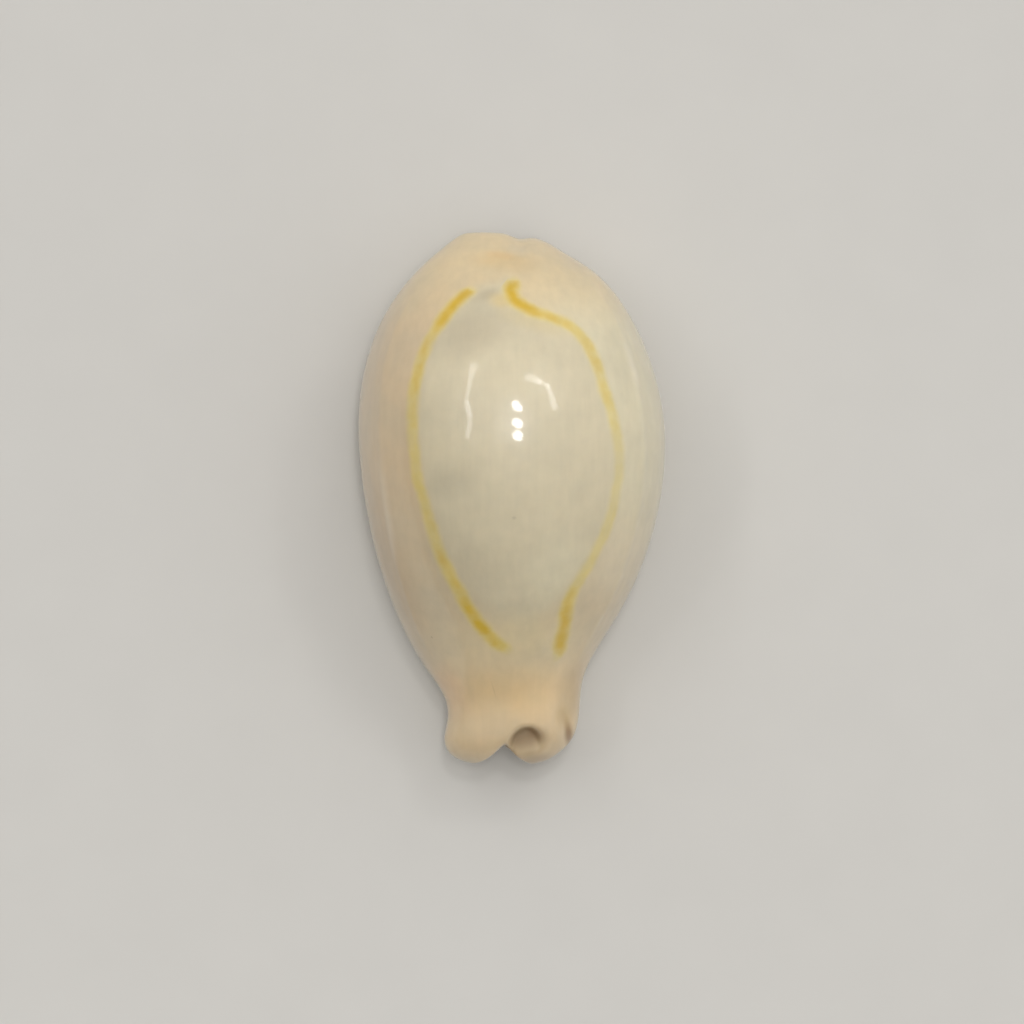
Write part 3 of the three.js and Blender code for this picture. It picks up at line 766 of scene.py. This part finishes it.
def matt_floor(colour):
    """Matt painted board: even and pale, with a barely seen paint texture about 4 mm across."""
    material = bpy.data.materials.new("matt_painted_board")
    material.use_nodes = True
    tree = material.node_tree
    tree.nodes.clear()
    coords = add_node(tree, "ShaderNodeTexCoord").outputs["Object"]
    per_patch = 1 / (PAINT["size"] * MM)
    noise = add_node(
        tree, "ShaderNodeTexNoise", {}, {"Vector": coords, "Scale": per_patch, "Detail": 2.0}).outputs[0]
    shade = add_node(
        tree, "ShaderNodeMapRange", {}, {"Value": noise, 3: PAINT["least"], 4: PAINT["most"]}).outputs[0]
    paint = add_node(tree, "ShaderNodeVectorMath", SCALED, {0: tuple(colour), "Scale": shade}).outputs[0]
    board = add_node(
        tree, "ShaderNodeBsdfPrincipled", {}, {"Base Color": paint, "Roughness": PAINT["roughness"]}).outputs[0]
    add_node(tree, "ShaderNodeOutputMaterial", inputs={"Surface": board})
    return material


class CowrieSizes(bpy.types.PropertyGroup):
    length: FloatProperty(
        name="Length", description="From the spire tip to the canal tip",
        default=high_corner.y - low_corner.y, unit="LENGTH")
    width: FloatProperty(
        name="Width", description="Across both margins", default=high_corner.x - low_corner.x, unit="LENGTH")
    height: FloatProperty(
        name="Height", description="From the underside to the crest of the back",
        default=high_corner.z - low_corner.z, unit="LENGTH")
    teeth: IntProperty(name="Teeth", description="Teeth along each lip", default=12)
    tooth_pitch: FloatProperty(
        name="Tooth pitch", description="From one tooth to the next", default=1.6 * MM, unit="LENGTH")
    groove_depth: FloatProperty(
        name="Groove depth", description="Depth of the grooves between teeth", default=0.55 * MM, unit="LENGTH")
    ripple_height: FloatProperty(
        name="Ripple height", description="Height of the faint ripples of the back",
        default=0.04 * MM, unit="LENGTH")
    ripple_size: FloatProperty(
        name="Ripple size", description="Width of the faint ripples of the back",
        default=1.4 * MM, unit="LENGTH")
    ring_half_width: FloatProperty(
        name="Ring half-width", description="Half the width of the golden ring",
        default=0.19 * MM, unit="LENGTH")


class CowrieColours(bpy.types.PropertyGroup):
    window: FloatVectorProperty(
        name="Window", description="Back inside the ring", subtype="COLOR", default=linear("#d6c9a9"))
    left_margin: FloatVectorProperty(
        name="Left margin", description="Margin on the outer lip's side",
        subtype="COLOR", default=linear("#d5bd98"))
    right_margin: FloatVectorProperty(
        name="Right margin", description="Margin on the inner lip's side",
        subtype="COLOR", default=linear("#ded3b3"))
    # Partly painted shade: the lower margins are darker as well as warmer
    warm_shaded_flanks: FloatVectorProperty(
        name="Flanks", description="Lower part of both margins", subtype="COLOR", default=linear("#d2bf9c"))
    spire_end: FloatVectorProperty(
        name="Spire end", description="Blunt end", subtype="COLOR", default=linear("#e0c99e"))
    canal_end: FloatVectorProperty(
        name="Canal end", description="Neck and lobes", subtype="COLOR", default=linear("#dcc39b"))
    underside: FloatVectorProperty(
        name="Underside", description="Base and teeth", subtype="COLOR", default=linear("#e9dfc8"))
    # Painted highlight: the pale line along the crest of the margins' ridge
    ridge: FloatVectorProperty(
        name="Ridge", description="Pale crest of the margins' ridge",
        subtype="COLOR", default=linear("#f2e8d2"))
    ring: FloatVectorProperty(
        name="Ring", description="Amber core of the ring", subtype="COLOR", default=linear("#d6ae18"))
    ring_edge: FloatVectorProperty(
        name="Ring edge", description="Pale gold beside the core", subtype="COLOR", default=linear("#e0cb78"))
    clouding: FloatVectorProperty(
        name="Clouding", description="Greyish clouding under the glaze",
        subtype="COLOR", default=linear("#bfb59b"))
    # Also the colour of the painted shade in the canal's mouth
    brown_and_shade: FloatVectorProperty(
        name="Hollows", description="Inside the canal's mouth and the slit",
        subtype="COLOR", default=linear("#7c6142"))


class CowrieStage(bpy.types.PropertyGroup):
    floor: FloatVectorProperty(
        name="Floor", description="Colour of the floor", subtype="COLOR", default=linear("#cfccc6"))
    floor_radius: FloatProperty(
        name="Floor radius", description="Half the width of the floor", default=0.5, unit="LENGTH")
    picture_width: FloatProperty(
        name="Picture width", description="Width of what the camera sees", default=50.04 * MM, unit="LENGTH")
    sky_near: FloatProperty(
        name="Bright side", description="Brightness of the lit side of the room", default=0.8)
    sky_far: FloatProperty(
        name="Dim side", description="Brightness of the other side of the room", default=0.08)
    bright_way: FloatVectorProperty(
        name="Bright way", description="The way towards the lit side of the room", subtype="DIRECTION",
        default=(0.4, 0.68, 0.62))


class COWRIE_OT_shell(bpy.types.Operator):
    """Grow the shell with its teeth, ring and glaze"""

    bl_idname = "cowrie.shell"
    bl_label = "Shell"

    def execute(self, context):
        sizes, colours = context.scene.cowrie_sizes, context.scene.cowrie_colours
        mesh = shell_mesh(sizes)
        path = ring_path(mesh)
        shell = bpy.data.objects.new("cowrie_shell", mesh)
        context.collection.objects.link(shell)
        tree = teeth_and_ring()
        values = {
            "Tooth pitch": sizes.tooth_pitch, "Groove depth": sizes.groove_depth, "Teeth": float(sizes.teeth),
            "Ripple height": sizes.ripple_height, "Ripple size": sizes.ripple_size,
            "Ring path": path, "Glaze": shell_glaze(colours, sizes),
        }
        nodes = shell.modifiers.new("teeth and ring", "NODES")
        nodes.node_group = tree
        for item in tree.interface.items_tree:
            if item.in_out == "INPUT" and item.name in values:
                nodes[item.identifier] = values[item.name]
        context.view_layer.update()
        graph = context.evaluated_depsgraph_get()
        grown = bpy.data.meshes.new_from_object(
            shell.evaluated_get(graph), preserve_all_data_layers=True, depsgraph=graph)
        shell.modifiers.clear()
        shell.data = grown
        grown.name = "cowrie_shell"
        bpy.data.objects.remove(path)
        bpy.data.meshes.remove(mesh)
        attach(shell, BODY)
        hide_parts(NODE)
        return {"FINISHED"}


class COWRIE_OT_stage(bpy.types.Operator):
    """Set up the floor, the studio light and the camera"""

    bl_idname = "cowrie.stage"
    bl_label = "Stage"

    def execute(self, context):
        stage = context.scene.cowrie_stage
        self.lay_floor(context, stage)
        self.light_room(context, stage)
        self.place_camera(context, stage)
        context.scene.view_settings.view_transform = "Standard"
        return {"FINISHED"}

    def lay_floor(self, context, stage):
        turns = np.linspace(0, 2 * np.pi, FLOOR_SIDES, endpoint=False)
        rim = np.column_stack([np.cos(turns), np.sin(turns), 0 * turns]) * stage.floor_radius
        mesh = bpy.data.meshes.new("floor")
        mesh.from_pydata(rim, [], [tuple(range(len(rim)))])
        mesh.materials.append(matt_floor(stage.floor))
        floor = bpy.data.objects.new("floor", mesh)
        context.collection.objects.link(floor)

    def light_room(self, context, stage):
        """Soft light from all round, brighter from the spire end and the right, and the small lamps."""
        world = bpy.data.worlds.new("studio_room")
        world.use_nodes = True
        tree = world.node_tree
        tree.nodes.clear()
        way = add_node(tree, "ShaderNodeTexCoord").outputs["Generated"]
        bright = Vector(stage.bright_way).normalized()
        facing = add_node(tree, "ShaderNodeVectorMath", DOT, {0: way, 1: bright}).outputs["Value"]
        level = add_node(
            tree, "ShaderNodeMapRange", SMOOTH,
            {"Value": facing, 1: DIMMEST, 2: 1.0, 3: stage.sky_far, 4: stage.sky_near},
        ).outputs[0]
        upward = add_node(tree, "ShaderNodeSeparateXYZ", inputs={0: way}).outputs["Z"]
        above = add_node(tree, "ShaderNodeMapRange", SMOOTH, {"Value": upward, 1: HORIZON, 2: 0.0}).outputs[0]
        level = add_node(tree, "ShaderNodeMath", TIMES, {0: level, 1: above}).outputs[0]

        back = ray_tree(bpy.data.objects["cowrie_shell"].data)
        for start, end, degrees, brightness in LAMPS:
            first, last = self.lamp_way(back, *start), self.lamp_way(back, *end)
            half = math.radians(degrees)
            soft = half * LAMP_EDGE_SHARE
            reach = first.angle(last) / 2 + half
            middle = (first + last).normalized()
            near = add_node(tree, "ShaderNodeVectorMath", DOT, {0: way, 1: middle}).outputs["Value"]
            lit = add_node(
                tree, "ShaderNodeMapRange", SMOOTH,
                {"Value": near, 1: math.cos(reach + soft), 2: math.cos(reach - soft), 4: brightness},
            ).outputs[0]
            if start != end:
                side = first.cross(last).normalized()
                off = add_node(tree, "ShaderNodeVectorMath", DOT, {0: way, 1: side}).outputs["Value"]
                off = add_node(tree, "ShaderNodeMath", UNSIGNED, {0: off}).outputs[0]
                across = add_node(
                    tree, "ShaderNodeMapRange", SMOOTH, {"Value": off, 1: half + soft, 2: half - soft},
                ).outputs[0]
                lit = add_node(tree, "ShaderNodeMath", TIMES, {0: lit, 1: across}).outputs[0]
            level = add_node(tree, "ShaderNodeMath", PLUS, {0: level, 1: lit}).outputs[0]
        room = add_node(tree, "ShaderNodeBackground", {}, {"Color": (1, 1, 1, 1), "Strength": level}).outputs[0]
        add_node(tree, "ShaderNodeOutputWorld", inputs={"Surface": room})
        context.scene.world = world

    def lamp_way(self, back, x, y):
        """The direction of a lamp that is seen from straight above, reflected at one place on the back."""
        normal = surface_at(back, x, y)[1]
        return 2 * normal.z * normal - Vector((0, 0, 1))

    def place_camera(self, context, stage):
        """Straight above, far off with a long lens, with the spire end at the top of the picture."""
        camera = bpy.data.cameras.new("camera")
        camera.lens = CAMERA["lens"]
        camera.clip_start, camera.clip_end = CAMERA["near"], CAMERA["far"]
        seen = bpy.data.objects.new("camera", camera)
        away = camera.lens / camera.sensor_width * stage.picture_width
        seen.location = (CAMERA["x"] * MM, CAMERA["y"] * MM, CAMERA["z"] * MM + away)
        context.collection.objects.link(seen)
        context.scene.camera = seen


class COWRIE_PT_panel(bpy.types.Panel):
    """Lists the cowrie's sizes, colours and steps"""

    bl_idname = "COWRIE_PT_panel"
    bl_label = "Ring cowrie"
    bl_space_type = "VIEW_3D"
    bl_region_type = "UI"
    bl_category = "Cowrie"

    def draw(self, context):
        scene = context.scene
        for group in (scene.cowrie_sizes, scene.cowrie_colours, scene.cowrie_stage):
            box = self.layout.box()
            for name in group.bl_rna.properties.keys():
                if name not in ("rna_type", "name"):
                    box.prop(group, name)
        for operator in OPERATORS:
            self.layout.operator(operator.bl_idname)


GROUPS = {"cowrie_sizes": CowrieSizes, "cowrie_colours": CowrieColours, "cowrie_stage": CowrieStage}
OPERATORS = (COWRIE_OT_shell, COWRIE_OT_stage)


def register():
    for kind in (*GROUPS.values(), *OPERATORS, COWRIE_PT_panel):
        bpy.utils.register_class(kind)
    for name, group in GROUPS.items():
        setattr(bpy.types.Scene, name, PointerProperty(type=group))


def unregister():
    for name in GROUPS:
        delattr(bpy.types.Scene, name)
    for kind in (COWRIE_PT_panel, *OPERATORS, *GROUPS.values()):
        bpy.utils.unregister_class(kind)


def main():
    register()
    bpy.ops.cowrie.shell()
    bpy.ops.cowrie.stage()


if __name__ == "__main__":
    main()
